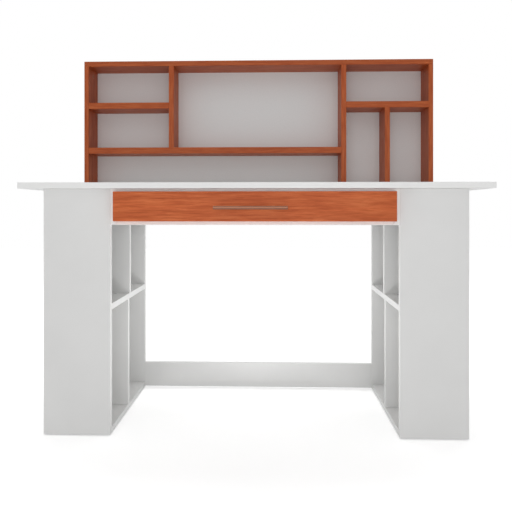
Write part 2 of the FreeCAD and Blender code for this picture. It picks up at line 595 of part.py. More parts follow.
def make_slide(side, case_wall, drawer_wall):
    """Three nested channels: one on the case, one on the drawer and one that runs between them.

    Reach is measured from the case side towards the drawer.
    """
    sheet = sizes.slide_sheet
    gap = sizes.slide_web_gap
    members = (
        ("cabinet", "0", f"({sizes.slide_space} - 2 * {gap})", 0, True),
        ("middle", f"({sheet} + {gap})", f"({sizes.slide_space} - {gap})", 1, True),
        ("drawer", f"(2 * {sheet} + 2 * {gap})", sizes.slide_space, 2, False),
    )
    middle_z = f"({DRAWER_LOW} + {DRAWER_TALL} / 2)"
    length = (f"({FRONT} + {sizes.slide_setback})", SLIDE_LENGTH)
    towards = 1 if side == "left" else -1

    def span(near, far):
        """A stretch of reach as a low end and a length on X."""
        low = f"(-{HALF_CASE} + {near})" if towards > 0 else f"({HALF_CASE} - {far})"
        return low, f"({far} - {near})"

    channels = {}
    for name, near, far, depth, web_on_case in members:
        half = f"({sizes.slide_height} / 2 - {depth} * ({sheet} + {sizes.slide_play}))"
        label = f"{side}_slide_{name}"
        bar = add_box(label + "_bar", span(near, far), length, (f"({middle_z} - {half})", f"(2 * {half})"))
        hollow_half = f"({half} - {sheet})"
        hollow_z = (f"({middle_z} - {hollow_half})", f"(2 * {hollow_half})")
        if web_on_case:
            hollow_x = span(f"({near} + {sheet})", f"({far} + {PAST_FACE})")
        else:
            hollow_x = span(f"({near} - {PAST_FACE})", f"({far} - {sheet})")
        hollow_y = (f"({length[0]} - {PAST_FACE})", f"({length[1]} + 2 * {PAST_FACE})")
        hollow = add_box(label + "_hollow", hollow_x, hollow_y, hollow_z)
        channels[name] = Piece(label, add_cut(label + "_channel", bar, [hollow]))

    lift = f"({sheet} + {sizes.slidescrew_head_height})"
    cabinet_head = f"({-towards} * ({HALF_CASE} - {lift}))"
    drawer_head = f"({-towards} * ({HALF_DRAWER} + {lift}))"
    for fraction in (0, 0.5, 1):
        travel = f"({SLIDE_LENGTH} - 2 * {sizes.slide_screw_inset})"
        spot = {"Y": f"({length[0]} + {sizes.slide_screw_inset} + {fraction} * {travel})", "Z": middle_z}
        add_screw("slidescrew", "case_slide_screws", (channels["cabinet"], case_wall), "X",
                  cabinet_head, -towards, spot, sunk=False)
        add_screw("slidescrew", "drawer_slide_screws", (channels["drawer"], drawer_wall), "X",
                  drawer_head, towards, spot, sunk=False)


def make_hutch(desktop):
    """Sides under a top, a back let in between them, and shelves and dividers in front of the back."""
    thick = sizes.hutch_board
    side_thick = sizes.hutch_side_board
    shelf_thick = sizes.hutch_shelf_board
    base = sizes.desk_height
    clear_height = f"({sizes.hutch_height} - {thick})"
    half_clear = f"({HALF_WIDTH} - {side_thick})"
    half_bay = f"({sizes.centre_bay} / 2)"
    full_depth = (HUTCH_FRONT, sizes.hutch_depth)
    depth = (HUTCH_FRONT, f"({sizes.hutch_depth} - {sizes.hutch_back_board})")
    height = (base, clear_height)
    top_low = f"({base} + {clear_height})"
    long_low = f"({base} + {sizes.lower_bay})"
    long_high = f"({long_low} + {shelf_thick})"
    short_z = (f"({base} + {sizes.short_shelf_lift})", shelf_thick)
    side_bay = f"({half_clear} - {half_bay} - {thick})"
    right_bay_x = f"({half_bay} + {thick})"
    small_divider_x = f"({right_bay_x} + ({side_bay} - {thick}) / 2)"

    left = Board("hutch_left_side", "X", (f"(-{HALF_WIDTH})", side_thick), full_depth, height)
    right = Board("hutch_right_side", "X", (half_clear, side_thick), full_depth, height)
    top = Board("hutch_top", "Z", (f"(-{HALF_WIDTH})", sizes.base_width), full_depth, (top_low, thick))
    back = Board("hutch_back", "Y", (f"(-{half_clear})", f"(2 * {half_clear})"),
                 (f"({REAR} - {sizes.hutch_back_board})", sizes.hutch_back_board), height, eased=False)
    right_divider = Board("hutch_right_divider", "X", (half_bay, thick), depth, height)
    long_shelf = Board("hutch_long_shelf", "Z", (f"(-{half_clear})", f"({half_clear} + {half_bay})"), depth,
                       (long_low, shelf_thick))
    left_divider = Board("hutch_left_divider", "X", (f"(-{half_bay} - {thick})", thick), depth,
                         (long_high, f"({top_low} - {long_high})"))
    left_shelf = Board("hutch_left_shelf", "Z", (f"(-{half_clear})", side_bay), depth, short_z)
    right_shelf = Board("hutch_right_shelf", "Z", (right_bay_x, side_bay), depth, short_z)
    small_divider = Board("hutch_small_divider", "X", (small_divider_x, thick), depth,
                          (base, sizes.short_shelf_lift))

    for board, face, axis, end_side, cam_side in (
        (left, top, "Z", "high", "high"),
        (right, top, "Z", "high", "low"),
        (left_divider, top, "Z", "high", "low"),
        (right_divider, top, "Z", "high", "high"),
        (left, desktop, "Z", "low", "high"),
        (right, desktop, "Z", "low", "low"),
        (right_divider, desktop, "Z", "low", "high"),
        (small_divider, desktop, "Z", "low", None),
        (left_divider, long_shelf, "Z", "low", None),
        (small_divider, right_shelf, "Z", "high", None),
        (long_shelf, left, "X", "low", "low"),
        (long_shelf, right_divider, "X", "high", "low"),
        (left_shelf, left, "X", "low", "low"),
        (left_shelf, left_divider, "X", "high", "low"),
        (right_shelf, right_divider, "X", "low", "low"),
        (right_shelf, right, "X", "high", "low"),
    ):
        butt_joint("hutch", board, face, axis, end_side, cam_side=cam_side)

    for board, along, count in (
        (long_shelf, "X", 3),
        (left_shelf, "X", 2),
        (right_shelf, "X", 2),
        (left_divider, "Z", 2),
        (right_divider, "Z", 3),
        (small_divider, "Z", 2),
    ):
        for number in range(count):
            spot = {board.thick: board.middle(board.thick)}
            spot[along] = board.share(along, sizes.back_screw_inset, number / (count - 1))
            add_screw("backscrew", "hutch_back_screws", (back, board), "Y", REAR, -1, spot)


def finish_pieces():
    """Cuts holes and grooves into the blanks and gathers the fasteners; returns label and object pairs."""
    finished = []
    for piece in PIECES:
        result = add_cut(piece.label, piece.blank, piece.cutters) if piece.cutters else piece.blank
        result.Label = piece.label
        finished.append((piece.label, result))
    for group, solids in GROUPS.items():
        result = add_compound(group, solids)
        result.Label = group
        finished.append((group, result))
    DOC.recompute()
    return finished


def check_document(finished):
    for feature in DOC.Objects:
        if "Invalid" in feature.State or "Error" in feature.State:
            raise RuntimeError(f"{feature.Label} failed: {feature.State}")
    for label, feature in finished:
        if feature.Shape.isNull() or not feature.Shape.isValid():
            raise RuntimeError(f"{label} has no valid shape")


def write_parts(finished):
    os.makedirs("parts", exist_ok=True)
    for label, feature in finished:
        feature.Shape.exportStep(os.path.join("parts", label + ".step"))


def make_desk():
    desktop = make_desktop()
    pedestals = {side: make_pedestal(side, desktop) for side in ("left", "right")}
    make_stretcher(pedestals["left"]["rear"], pedestals["right"]["rear"])
    case_sides = make_case(desktop, pedestals)
    drawer_front, drawer_sides = make_drawer()
    make_handle(drawer_front)
    for side in ("left", "right"):
        make_slide(side, case_sides[side], drawer_sides[side])
    make_hutch(desktop)
    finished = finish_pieces()
    check_document(finished)
    write_parts(finished)


make_desk()
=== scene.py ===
import math

import bmesh
import bpy
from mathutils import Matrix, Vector


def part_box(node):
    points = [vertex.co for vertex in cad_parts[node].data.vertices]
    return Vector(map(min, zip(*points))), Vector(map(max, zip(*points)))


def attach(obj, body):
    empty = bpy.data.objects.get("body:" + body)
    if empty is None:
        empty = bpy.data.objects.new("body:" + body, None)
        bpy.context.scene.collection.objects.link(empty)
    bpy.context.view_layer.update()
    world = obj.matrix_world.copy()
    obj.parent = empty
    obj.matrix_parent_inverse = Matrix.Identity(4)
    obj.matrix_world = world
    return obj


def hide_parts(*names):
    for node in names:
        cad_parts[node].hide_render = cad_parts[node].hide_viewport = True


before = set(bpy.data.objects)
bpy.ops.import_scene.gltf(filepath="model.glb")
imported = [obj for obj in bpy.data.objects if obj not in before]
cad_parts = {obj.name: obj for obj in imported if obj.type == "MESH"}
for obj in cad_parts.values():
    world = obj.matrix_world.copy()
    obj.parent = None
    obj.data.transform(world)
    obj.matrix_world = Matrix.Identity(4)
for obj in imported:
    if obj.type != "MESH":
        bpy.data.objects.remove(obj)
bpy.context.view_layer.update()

bl_info = {
    "name": "Student desk with hutch",
    "version": (1, 0, 0),
    "blender": (4, 5, 0),
    "location": "3D View > Sidebar > Desk",
    "description": "Dresses the desk's boards, handle, slides and fasteners, and sets its studio",
    "category": "Object",
}

MM = 0.001
AXES = {"X": Vector((1, 0, 0)), "Y": Vector((0, 1, 0)), "Z": Vector((0, 0, 1))}

# Boards by the axis of their thickness: the faces across it are the film, the others the edge band.
WHITE_BOARDS = {
    "X": ("left_outer_panel", "right_outer_panel", "drawer_left_side", "drawer_right_side"),
    "Y": ("left_front_panel", "right_front_panel", "left_rear_panel", "right_rear_panel",
          "left_upper_divider", "right_upper_divider", "left_lower_divider", "right_lower_divider",
          "stretcher", "drawer_back"),
    "Z": ("left_shelf", "right_shelf", "left_bottom_panel", "right_bottom_panel"),
}
# The same for the boards whose edge band is lighter than their film. This is painted light: it brightens the
# desktop's edge and the drawer case's strips, which sit in shade, and the real band is the same as on the
# other boards.
PAINTED_LIGHT_EDGED_BOARDS = {
    "X": ("case_left_side", "case_right_side"),
    "Y": ("case_back",),
    "Z": ("desktop", "case_bottom", "case_front_rail"),
}
# Wood-faced boards by the axis along which their grain runs.
CHERRY_BOARDS = {
    "X": ("hutch_top", "hutch_long_shelf", "hutch_left_shelf", "hutch_right_shelf"),
    "Z": ("hutch_left_side", "hutch_right_side", "hutch_left_divider", "hutch_right_divider",
          "hutch_small_divider"),
}
HARDBOARD_SHEETS = ("hutch_back", "drawer_bottom")
DOWELS = ("base_dowels", "hutch_dowels", "drawer_dowels")
CAM_BOLTS = ("base_cam_bolts", "hutch_cam_bolts")
# Screws: CAD group, body, piece name, whether the head is sunk, whether it has a hexagon socket.
SCREW_GROUPS = (
    ("hutch_back_screws", "desk", "back_panel_screws", True, False),
    ("divider_screws", "desk", "divider_confirmats", True, True),
    ("case_screws", "desk", "case_wall_screws", True, False),
    ("rail_screws", "desk", "front_rail_screws", True, False),
    ("case_slide_screws", "desk", "case_slide_panheads", False, False),
    ("drawer_slide_screws", "drawer", "drawer_slide_panheads", False, False),
    ("handle_screws", "drawer", "handle_panheads", False, False),
)

# A face whose normal is turned about 45 degrees or more from the board's thickness belongs to the edge.
EDGE_COSINE = 0.7
# Nearly all values of a noise texture lie between these.
NOISE_LOW, NOISE_HIGH = 0.3, 0.7
NOISE_SPAN = {"From Min": NOISE_LOW, "From Max": NOISE_HIGH}
# Sockets of a colour mix and of a random number, whose names are not unique.
MIX_SHARE, MIX_FIRST, MIX_SECOND, MIXED = 0, 6, 7, 2
RANDOM_LOW, RANDOM_HIGH, RANDOM_NUMBER = 2, 3, 1
# A colour setting has red, green, blue and alpha, each from 0 to 1.
RGBA = {"size": 4, "min": 0, "max": 1}

# Corners this near to each other are one.
WELD = 0.001 * MM
# A corner this near to a fastener's rim or tip is on it.
TOUCH = 0.01 * MM
FASTENER_SIDES = 18
# Steps to a turn of the thread.
THREAD_STEPS = 4
# At its top, a pan head's radius is less by the square of this share.
PAN_DOME = 0.55
# What is left of the shank's radius at the end of the point.
POINT_SHARE = 0.2
# A cross recess's arm to the head's radius, and a recess's depth to the head's height.
RECESS_ARM = 1.15
RECESS_SHARE = 0.6
# Steps round a bend of the sheet and round a slot's corner.
BEND_STEPS = 6
# A slot's ends are rounded with just under half its width.
SLOT_ROUNDING = 0.49
# A punch starts two sheets before the web and is four sheets long.
PUNCH_START, PUNCH_LENGTH = -2.0, 4.0

# Softboxes: name, place, width and height, and the setting with the power.
SOFTBOXES = (
    ("Key softbox", (-0.5, -2.9, 3.1), (3.0, 2.2), "key_power"),
    ("Front fill", (0.0, -4.2, 0.7), (2.6, 0.9), "fill_power"),
    ("Overhead softbox", (0.0, 1.0, 3.3), (1.8, 1.0), "overhead_power"),
    ("Left rear softbox", (-2.4, 2.2, 1.8), (1.6, 1.6), "rear_power"),
    ("Right rear softbox", (2.4, 2.2, 1.8), (1.6, 1.6), "rear_power"),
)
SOFTBOX_AIM = Vector((0, 0, 0.6))
KNEEHOLE_LAMP_PLACE = (0, -0.2, 0.02)
KNEEHOLE_LAMP_SIZE = (0.12, 0.4)
# Half the floor's width.
FLOOR_REACH = 8
# Between these distances, the floor's own white goes over from its near to its far value.
NEAR_FLOOR, FAR_FLOOR = 1.5, 3.5
# In millimetres, as cameras have it.
SENSOR_WIDTH = 36


def linear(code):
    """An sRGB hex colour as linear red, green, blue and alpha."""
    values = []
    for start in (1, 3, 5):
        value = int(code[start:start + 2], 16) / 255
        values.append(value / 12.92 if value <= 0.04045 else ((value + 0.055) / 1.055) ** 2.4)
    return (*values, 1.0)


def per_metre(size_mm):
    """How often a pattern of this real size repeats in a metre."""
    return 1 / (size_mm * MM)


def add(tree, kind, inputs=None, **settings):
    """Adds a node with its settings; each input gets a value, or the output that it is linked to."""
    node = tree.nodes.new(kind)
    for name, value in settings.items():
        setattr(node, name, value)
    for key, value in (inputs or {}).items():
        if isinstance(value, bpy.types.NodeSocket):
            tree.links.new(value, node.inputs[key])
        else:
            node.inputs[key].default_value = value
    return node


def new_material(name, **values):
    """A material with one principled shader; values go to the shader's own sockets."""
    material = bpy.data.materials.new(name)
    material.use_nodes = True
    shader = material.node_tree.nodes["Principled BSDF"]
    for socket, value in values.items():
        shader.inputs[socket.replace("_", " ")].default_value = value
    return material, material.node_tree, shader


def connect(tree, shader, color, roughness, normal=None):
    """Links these outputs to the shader's colour, roughness and normal."""
    for socket, output in (("Base Color", color), ("Roughness", roughness), ("Normal", normal)):
        if output:
            tree.links.new(output, shader.inputs[socket])


def drawn_out(tree, along, length_mm, width_mm, **inputs):
    """Noise whose patches have this length along one axis and this width across it."""
    place = add(tree, "ShaderNodeTexCoord").outputs["Object"]
    scale = [per_metre(width_mm)] * 3
    scale["XYZ".index(along)] = per_metre(length_mm)
    spread = add(tree, "ShaderNodeMapping", {"Vector": place, "Scale": scale})
    noise = add(tree, "ShaderNodeTexNoise", {"Vector": spread.outputs[0], "Scale": 1.0, **inputs})
    return noise.outputs["Fac"]


def varied(tree, color, noise, least, most, span=NOISE_SPAN):
    """The colour times a factor that goes from least to most with the noise."""
    factor = add(tree, "ShaderNodeMapRange", {"Value": noise, **span, "To Min": least, "To Max": most})
    product = add(tree, "ShaderNodeMix", {
        MIX_SHARE: 1.0, MIX_FIRST: color, MIX_SECOND: factor.outputs[0],
    }, data_type="RGBA", blend_type="MULTIPLY")
    return product.outputs[MIXED]


def white_melamine(film_color, band_color, name, thick):
    """Particle board under a pressed white film, with a plastic edge band.

    The film has a fine pearl grain, a low sheen and a faint clouding.
    """
    material, tree, shader = new_material(f"{name} {thick}", IOR=1.5)
    place = add(tree, "ShaderNodeTexCoord").outputs
    across = add(tree, "ShaderNodeVectorMath", {0: place["Normal"], 1: AXES[thick]}, operation="DOT_PRODUCT")
    facing = add(tree, "ShaderNodeMath", {0: across.outputs["Value"]}, operation="ABSOLUTE")
    band = add(tree, "ShaderNodeMath", {0: facing.outputs[0], 1: EDGE_COSINE}, operation="LESS_THAN")
    # The pearl grain is about 1 mm; it is drawn at 5 mm, or it would not show at this distance.
    pearl = add(tree, "ShaderNodeTexNoise", {
        "Vector": place["Object"], "Scale": per_metre(5), "Detail": 2.0}).outputs["Fac"]
    # Faint clouding over a hand's width, from pressing.
    cloud = add(tree, "ShaderNodeTexNoise", {
        "Vector": place["Object"], "Scale": per_metre(160), "Detail": 3.0}).outputs["Fac"]
    film = add(tree, "ShaderNodeMix", {
        MIX_SHARE: band.outputs[0], MIX_FIRST: film_color, MIX_SECOND: band_color}, data_type="RGBA")
    tinted = varied(tree, film.outputs[MIXED], cloud, least=0.965, most=1.0)
    sheen = add(tree, "ShaderNodeMapRange", {"Value": pearl, **NOISE_SPAN, "To Min": 0.4, "To Max": 0.52})
    bump = add(tree, "ShaderNodeBump", {"Strength": 0.08, "Distance": 0.3 * MM, "Height": pearl})
    connect(tree, shader, tinted, sheen.outputs[0], bump.outputs[0])
    return material


def cherry_laminate(settings, name, grain, painted_shade_share):
    """Board under a printed cherry-tone film: long streaks, slow bands, fine dark pores and a satin sheen."""
    material, tree, shader = new_material(name, IOR=1.5, Specular_IOR_Level=0.2)
    streaks = drawn_out(tree, grain, length_mm=70, width_mm=5, Detail=4.0, Roughness=0.6, Distortion=0.3)
    bands = drawn_out(tree, grain, length_mm=900, width_mm=22, Detail=2.0, Roughness=0.6, Distortion=0.6)
    # Pores are 0.3 mm wide and 5 mm long; they are drawn at 2.2 mm and 30 mm, so that they show.
    pores = drawn_out(tree, grain, length_mm=30, width_mm=2.2, Detail=2.0, Roughness=0.6)
    ramp = add(tree, "ShaderNodeValToRGB", {"Fac": streaks})
    stops = ramp.color_ramp.elements
    stops[0].position, stops[0].color = NOISE_LOW, settings.cherry_dark
    stops[1].position, stops[1].color = NOISE_HIGH, settings.cherry_light
    centre = stops.new(0.5)
    centre.color = settings.cherry
    # A share below 1 darkens the whole film with painted shade: the hutch's boards get one, the drawer front
    # has 1.
    banded = varied(tree, ramp.outputs[0], bands, least=0.92 * painted_shade_share, most=1.06 * painted_shade_share)
    pitted = add(tree, "ShaderNodeMapRange", {
        "Value": pores, "From Min": 0.60, "From Max": 0.72, "To Min": 0.0, "To Max": 0.5})
    pored = add(tree, "ShaderNodeMix", {
        MIX_SHARE: pitted.outputs[0], MIX_FIRST: banded, MIX_SECOND: settings.cherry_dark}, data_type="RGBA")
    sheen = add(tree, "ShaderNodeMapRange", {"Value": streaks, **NOISE_SPAN, "To Min": 0.5, "To Max": 0.4})
    bump = add(tree, "ShaderNodeBump", {"Strength": 0.15, "Distance": 0.2 * MM, "Height": pores}, invert=True)
    connect(tree, shader, pored.outputs[MIXED], sheen.outputs[0], bump.outputs[0])
    return material


def lacquered_hardboard(settings):
    """Hardboard lacquered white on its face: matt, with the faint speckle of pressed fibres."""
    material, tree, shader = new_material("Lacquered hardboard", IOR=1.45)
    place = add(tree, "ShaderNodeTexCoord").outputs["Object"]
    # Fibres are under 1 mm; they are drawn at 4 mm, so that they show.
    fibres = add(tree, "ShaderNodeTexNoise", {
        "Vector": place, "Scale": per_metre(4), "Detail": 4.0, "Roughness": 0.7}).outputs["Fac"]
    tinted = varied(tree, settings.hardboard, fibres, least=0.95, most=1.0)
    rough = add(tree, "ShaderNodeMapRange", {"Value": fibres, **NOISE_SPAN, "To Min": 0.55, "To Max": 0.68})
    bump = add(tree, "ShaderNodeBump", {"Strength": 0.06, "Distance": 0.2 * MM, "Height": fibres})
    connect(tree, shader, tinted, rough.outputs[0], bump.outputs[0])
    return material


def brushed_metal(name, color, roughness, along, line_mm, length_mm):
    """Metal with fine lines along one axis: they spread the highlight across it and vary its gloss."""
    material, tree, shader = new_material(name, Metallic=1.0, Anisotropic=0.4)
    lines = drawn_out(tree, along, length_mm, line_mm, Detail=3.0)
    tinted = varied(tree, color, lines, least=0.85, most=1.05)
    gloss = add(tree, "ShaderNodeMapRange", {
        "Value": lines, **NOISE_SPAN, "To Min": roughness - 0.06, "To Max": roughness + 0.08})
    bump = add(tree, "ShaderNodeBump", {"Strength": 0.1, "Distance": 0.05 * MM, "Height": lines})
    connect(tree, shader, tinted, gloss.outputs[0], bump.outputs[0])
    return material


def cast_or_plated(name, color, roughness, grain_mm):
    """Die-cast zinc or zinc-plated steel: grey metal with cloudy crystal patches in tone and gloss."""
    material, tree, shader = new_material(name, Metallic=1.0)
    place = add(tree, "ShaderNodeTexCoord").outputs["Object"]
    patches = add(tree, "ShaderNodeTexNoise", {
        "Vector": place, "Scale": per_metre(grain_mm), "Detail": 3.0}).outputs["Fac"]
    tinted = varied(tree, color, patches, least=0.82, most=1.05)
    gloss = add(tree, "ShaderNodeMapRange", {
        "Value": patches, **NOISE_SPAN, "To Min": roughness - 0.08, "To Max": roughness + 0.08})
    connect(tree, shader, tinted, gloss.outputs[0])
    return material


def moulded_plastic(name, color):
    """Injection-moulded plastic: even colour under a fine spark-eroded grain."""
    material, tree, shader = new_material(name, IOR=1.49)
    place = add(tree, "ShaderNodeTexCoord").outputs["Object"]
    # The eroded grain is about 0.1 mm; it is drawn at 1.2 mm, so that it shows from close by.
    grain = add(tree, "ShaderNodeTexNoise", {
        "Vector": place, "Scale": per_metre(1.2), "Detail": 2.0}).outputs["Fac"]
    tinted = varied(tree, color, grain, least=0.94, most=1.0)
    rough = add(tree, "ShaderNodeMapRange", {"Value": grain, **NOISE_SPAN, "To Min": 0.42, "To Max": 0.55})
    bump = add(tree, "ShaderNodeBump", {"Strength": 0.12, "Distance": 0.1 * MM, "Height": grain})
    connect(tree, shader, tinted, rough.outputs[0], bump.outputs[0])
    return material


def beech(settings):
    """Turned beech: pale, with short darker flecks, unfinished and matt."""
    material, tree, shader = new_material("Beech dowel", IOR=1.45)
    place = add(tree, "ShaderNodeTexCoord").outputs["Object"]
    flecks = add(tree, "ShaderNodeTexNoise", {
        "Vector": place, "Scale": per_metre(2), "Detail": 3.0}).outputs["Fac"]
    # Narrower than the noise's own span, for clear flecks.
    span = {"From Min": 0.35, "From Max": 0.65}
    tinted = varied(tree, settings.beech, flecks, least=0.8, most=1.0, span=span)
    rough = add(tree, "ShaderNodeMapRange", {"Value": flecks, **span, "To Min": 0.7, "To Max": 0.6})
    connect(tree, shader, tinted, rough.outputs[0])
    return material


def dress(node, material):
    """Puts the material in every slot of a CAD node."""
    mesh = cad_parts[node].data
    if not mesh.materials:
        mesh.materials.append(material)
    for index in range(len(mesh.materials)):
        mesh.materials[index] = material


def solids_of(node):
    """The separate solids of a CAD node, each as the list of its corner points."""
    shape = bmesh.new()
    shape.from_mesh(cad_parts[node].data)
    bmesh.ops.remove_doubles(shape, verts=shape.verts, dist=WELD)
    waiting = set(shape.verts)
    solids = []
    while waiting:
        reached = {waiting.pop()}
        growing = list(reached)
        while growing:
            corner = growing.pop()
            for edge in corner.link_edges:
                other = edge.other_vert(corner)
                if other in waiting:
                    waiting.discard(other)
                    reached.add(other)
                    growing.append(other)
        solids.append([corner.co.copy() for corner in reached])
    shape.free()
    return sorted(solids, key=lambda points: tuple(round(value, 4) for value in min(points, key=tuple)))


class Turned:
    """A turned fastener as the CAD has it: where its head's face is, which way it points, and its sizes."""

    def __init__(self, points, axis=None):
        low = Vector(min(point[index] for point in points) for index in range(3))
        high = Vector(max(point[index] for point in points) for index in range(3))
        sizes = high - low
        if axis is None:
            axis = max(range(3), key=lambda index: sizes[index])
        middle = (low + high) / 2
        rows = []
        for point in points:
            off_axis = point - middle
            along = off_axis[axis]
            off_axis[axis] = 0
            rows.append((along, off_axis.length))
        self.head_radius = max(radius for along, radius in rows)
        widest = [along for along, radius in rows if radius > self.head_radius - TOUCH]
        points_up = sum(widest) < 0
        half = sizes[axis] / 2
        self.length = sizes[axis]
        self.direction = Vector((0, 0, 0))
        self.direction[axis] = 1 if points_up else -1
        self.head = middle - self.direction * half
        tip = half if points_up else -half
        self.shank_radius = max(radius for along, radius in rows if abs(along - tip) < TOUCH)
        self.head_height = max(abs(along + tip) for along in widest)


def points_object(name, places, directions):
    """An object with a point at each place, which carries the direction there."""
    mesh = bpy.data.meshes.new(name)
    mesh.from_pydata(places, [], [])
    way = mesh.attributes.new("direction", "FLOAT_VECTOR", "POINT")
    for value, direction in zip(way.data, directions):
        value.vector = direction
    piece = bpy.data.objects.new(name, mesh)
    bpy.context.scene.collection.objects.link(piece)
    return piece


def new_tree(name, sockets):
    """A geometry tree with Points, the named inputs and one output; returns it, its input and its output."""
    tree = bpy.data.node_groups.new(name, "GeometryNodeTree")
    tree.interface.new_socket("Points", in_out="INPUT", socket_type="NodeSocketGeometry")
    for socket, kind in sockets:
        tree.interface.new_socket(socket, in_out="INPUT", socket_type=f"NodeSocket{kind}")
    tree.interface.new_socket("Geometry", in_out="OUTPUT", socket_type="NodeSocketGeometry")
    return tree, tree.nodes.new("NodeGroupInput").outputs, tree.nodes.new("NodeGroupOutput").inputs


def set_on_points(tree, given, result, shape, rotation):
    """Sets the shape on every point with this rotation, and makes it real geometry in its material."""
    placed = add(tree, "GeometryNodeInstanceOnPoints", {
        "Points": given["Points"], "Instance": shape, "Rotation": rotation})
    real = add(tree, "GeometryNodeRealizeInstances", {"Geometry": placed.outputs[0]})
    coated = add(tree, "GeometryNodeSetMaterial", {
        "Geometry": real.outputs[0], "Material": given["Material"]})
    tree.links.new(coated.outputs[0], result["Geometry"])


def turned_fastener_tree():
    """Screws and glides: a line swept by a circle whose radius follows head, threaded shank and point.

    A cross or a hexagon is sunk into the head. Each fastener is turned to its direction and spun at random.
    """
    tree, given, result = new_tree("Turned fastener", (
        ("Head Radius", "Float"), ("Head Height", "Float"), ("Shank Radius", "Float"), ("Length", "Float"),
        ("Thread Pitch", "Float"), ("Thread Depth", "Float"), ("Point Length", "Float"),
        ("Sunk Head", "Bool"), ("Recess Width", "Float"), ("Recess Depth", "Float"),
        ("Hexagon Socket", "Bool"), ("Seed", "Int"), ("Material", "Material"),
    ))
    end = add(tree, "ShaderNodeCombineXYZ", {"Z": given["Length"]})
    line = add(tree, "GeometryNodeCurvePrimitiveLine", {"End": end.outputs[0]})
    turns = add(tree, "ShaderNodeMath", {0: given["Length"], 1: given["Thread Pitch"]}, operation="DIVIDE")
    count = add(tree, "ShaderNodeMath", {
        0: turns.outputs[0], 1: THREAD_STEPS, 2: 1.0}, operation="MULTIPLY_ADD")
    stepped = add(tree, "GeometryNodeResampleCurve", {
        "Curve": line.outputs[0], "Count": count.outputs[0]}, mode="COUNT")
    position = add(tree, "GeometryNodeInputPosition")
    depth = add(tree, "ShaderNodeSeparateXYZ", {0: position.outputs[0]}).outputs["Z"]

    sunk = add(tree, "ShaderNodeMapRange", {
        "Value": depth, "From Max": given["Head Height"],
        "To Min": given["Head Radius"], "To Max": given["Shank Radius"]})
    rise = add(tree, "ShaderNodeMapRange", {
        "Value": depth, "From Max": given["Head Height"], "To Min": PAN_DOME, "To Max": 0.0})
    domed = add(tree, "ShaderNodeMath", {0: rise.outputs[0], 1: rise.outputs[0]}, operation="MULTIPLY")
    shrunk = add(tree, "ShaderNodeMath", {0: 1.0, 1: domed.outputs[0]}, operation="SUBTRACT")
    pan = add(tree, "ShaderNodeMath", {0: shrunk.outputs[0], 1: given["Head Radius"]}, operation="MULTIPLY")
    head = add(tree, "GeometryNodeSwitch", {
        0: given["Sunk Head"], 1: pan.outputs[0], 2: sunk.outputs[0]}, input_type="FLOAT")

    half_pitch = add(tree, "ShaderNodeMath", {0: given["Thread Pitch"], 1: 0.5}, operation="MULTIPLY")
    wave = add(tree, "ShaderNodeMath", {0: depth, 1: half_pitch.outputs[0]}, operation="PINGPONG")
    ridge = add(tree, "ShaderNodeMapRange", {
        "Value": wave.outputs[0], "From Max": half_pitch.outputs[0],
        "To Min": given["Thread Depth"], "To Max": 0.0})
    core = add(tree, "ShaderNodeMath", {0: given["Shank Radius"], 1: ridge.outputs[0]}, operation="SUBTRACT")
    shoulder = add(tree, "ShaderNodeMath", {
        0: given["Length"], 1: given["Point Length"]}, operation="SUBTRACT")
    taper = add(tree, "ShaderNodeMapRange", {
        "Value": depth, "From Min": shoulder.outputs[0], "From Max": given["Length"],
        "To Min": 1.0, "To Max": POINT_SHARE})
    shank = add(tree, "ShaderNodeMath", {0: core.outputs[0], 1: taper.outputs[0]}, operation="MULTIPLY")
    in_head = add(tree, "ShaderNodeMath", {0: depth, 1: given["Head Height"]}, operation="LESS_THAN")
    radius = add(tree, "GeometryNodeSwitch", {
        0: in_head.outputs[0], 1: shank.outputs[0], 2: head.outputs[0]}, input_type="FLOAT")
    circle = add(tree, "GeometryNodeCurvePrimitiveCircle", {"Resolution": FASTENER_SIDES, "Radius": 1.0})
    body = add(tree, "GeometryNodeCurveToMesh", {
        "Curve": stepped.outputs[0], "Profile Curve": circle.outputs[0], "Scale": radius.outputs[0],
        "Fill Caps": True})

    # The recess's cutters are centred on the head's face, so they are twice as deep as the recess.
    deep = add(tree, "ShaderNodeMath", {0: given["Recess Depth"], 1: 2.0}, operation="MULTIPLY")
    arm = add(tree, "ShaderNodeMath", {
        0: given["Head Radius"], 1: RECESS_ARM}, operation="MULTIPLY").outputs[0]
    cross = add(tree, "GeometryNodeMeshBoolean", operation="UNION", solver="EXACT")
    for across, along in ((given["Recess Width"], arm), (arm, given["Recess Width"])):
        size = add(tree, "ShaderNodeCombineXYZ", {"X": across, "Y": along, "Z": deep.outputs[0]})
        bar = add(tree, "GeometryNodeMeshCube", {"Size": size.outputs[0]})
        tree.links.new(bar.outputs[0], cross.inputs["Mesh 2"])
    hexagon = add(tree, "GeometryNodeMeshCylinder", {
        "Vertices": 6, "Radius": given["Recess Width"], "Depth": deep.outputs[0]})
    recess = add(tree, "GeometryNodeSwitch", {
        0: given["Hexagon Socket"], 1: cross.outputs[0], 2: hexagon.outputs[0]}, input_type="GEOMETRY")
    driven = add(tree, "GeometryNodeMeshBoolean", {
        "Mesh 1": body.outputs[0], "Mesh 2": recess.outputs[0]}, operation="DIFFERENCE", solver="EXACT")
    has_recess = add(tree, "ShaderNodeMath", {0: given["Recess Depth"], 1: 0.0}, operation="GREATER_THAN")
    whole = add(tree, "GeometryNodeSwitch", {
        0: has_recess.outputs[0], 1: body.outputs[0], 2: driven.outputs[0]}, input_type="GEOMETRY")

